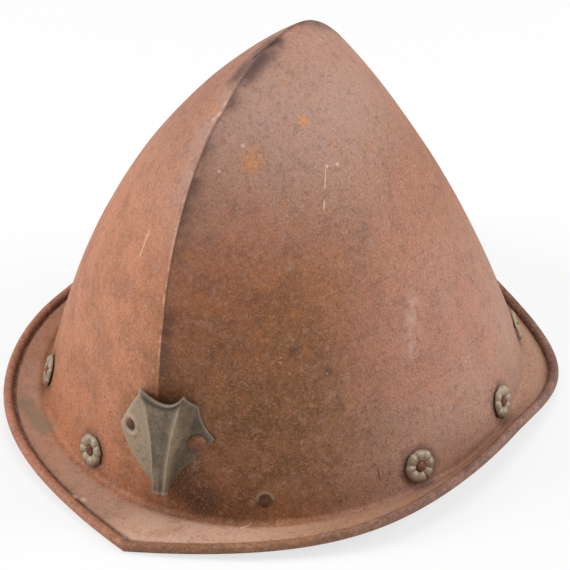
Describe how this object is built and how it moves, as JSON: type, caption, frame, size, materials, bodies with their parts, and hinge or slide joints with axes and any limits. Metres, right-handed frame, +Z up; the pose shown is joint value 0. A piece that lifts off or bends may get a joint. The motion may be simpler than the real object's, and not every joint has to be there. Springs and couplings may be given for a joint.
{
  "type": "musketeer helmet",
  "caption": "Pointed keeled iron helmet with a narrow rolled brim, riveted brass rosettes, a brass plume holder at the back and a quilted lining.",
  "frame": {"origin": "on the ground under the middle of the brim's length", "axes": "+Y to the wearer's front, +X to the wearer's right, +Z up to the crown"},
  "size_m": [0.2464, 0.2966, 0.186],
  "materials": {
    "rusted_iron": "even brown rust over hammered sheet, finely pitted, with scratches and paler worn places",
    "rivet_iron": "dark red-brown rust",
    "old_brass": "dull olive-grey patina, worn paler on edges",
    "band_leather": "dark oiled leather",
    "quilted_linen": "undyed quilted linen, aged",
    "linen_cord": "twisted linen cord"
  },
  "bodies": {
    "root": {"skull": "rusted_iron", "rim_wire": "rusted_iron", "lining_rivets": "rivet_iron", "lining_burrs": "rivet_iron", "lining_band": "band_leather", "liner": "quilted_linen", "liner_lace": "linen_cord", "plume_holder": "old_brass", "plume_rivets": "rivet_iron", "plume_burrs": "rivet_iron", "rosette_1": "old_brass", "rosette_2": "old_brass", "rosette_3": "old_brass", "rosette_4": "old_brass", "rosette_5": "old_brass", "rosette_6": "old_brass", "rosette_7": "old_brass", "rosette_8": "old_brass", "rosette_9": "old_brass"}
  },
  "joints": []
}
